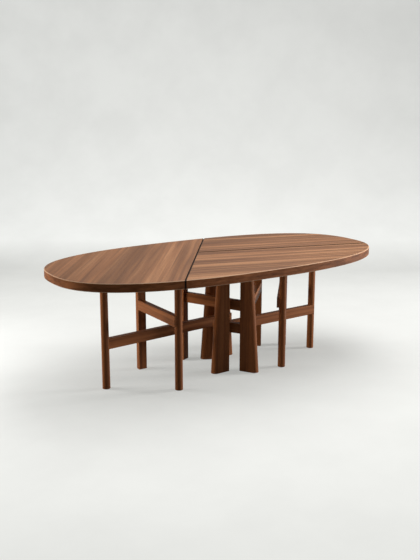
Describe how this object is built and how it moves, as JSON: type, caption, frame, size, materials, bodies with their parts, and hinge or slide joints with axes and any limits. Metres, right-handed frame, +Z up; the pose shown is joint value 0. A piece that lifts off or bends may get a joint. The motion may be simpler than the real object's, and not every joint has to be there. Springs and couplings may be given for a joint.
{
  "type": "dining table",
  "caption": "Long rounded dining table in dark walnut: a leafed slab top on slim posts and flared upright fins, tied by lapped and tenoned rails at two levels.",
  "frame": {"origin": "on the floor under the middle of the top", "axes": "+X along the table's length, +Y towards its rear, +Z up"},
  "size_m": [2.2207, 1.112, 0.75],
  "materials": {
    "walnut": "satin oiled walnut with a fine straight grain",
    "strip_wood": "dark stained, matt",
    "dowel_wood": "plain pale hardwood",
    "plated_steel": "zinc plated",
    "insert_brass": "plain machined",
    "glide_plastic": "matt dark"
  },
  "bodies": {
    "root": {"top_left_leaf": "walnut", "top_rear_leaf": "walnut", "top_front_leaf": "walnut", "left_end_post": "walnut", "left_rear_post": "walnut", "left_front_post": "walnut", "centre_rear_post": "walnut", "right_inner_post": "walnut", "right_front_post": "walnut", "right_end_post": "walnut", "right_rear_post": "walnut", "rear_left_fin": "walnut", "front_left_fin": "walnut", "rear_right_fin": "walnut", "front_right_fin": "walnut", "left_spine_rail": "walnut", "right_spine_rail": "walnut", "left_cross_rail": "walnut", "centre_cross_rail": "walnut", "right_diagonal_rail": "walnut", "right_cross_rail": "walnut", "fin_stub_rail": "walnut", "seam_strips": "strip_wood", "lap_dowels": "dowel_wood", "leg_studs": "plated_steel", "top_inserts": "insert_brass", "floor_glides": "glide_plastic", "seam_plates": "plated_steel", "seam_plate_screws": "plated_steel"}
  },
  "joints": []
}
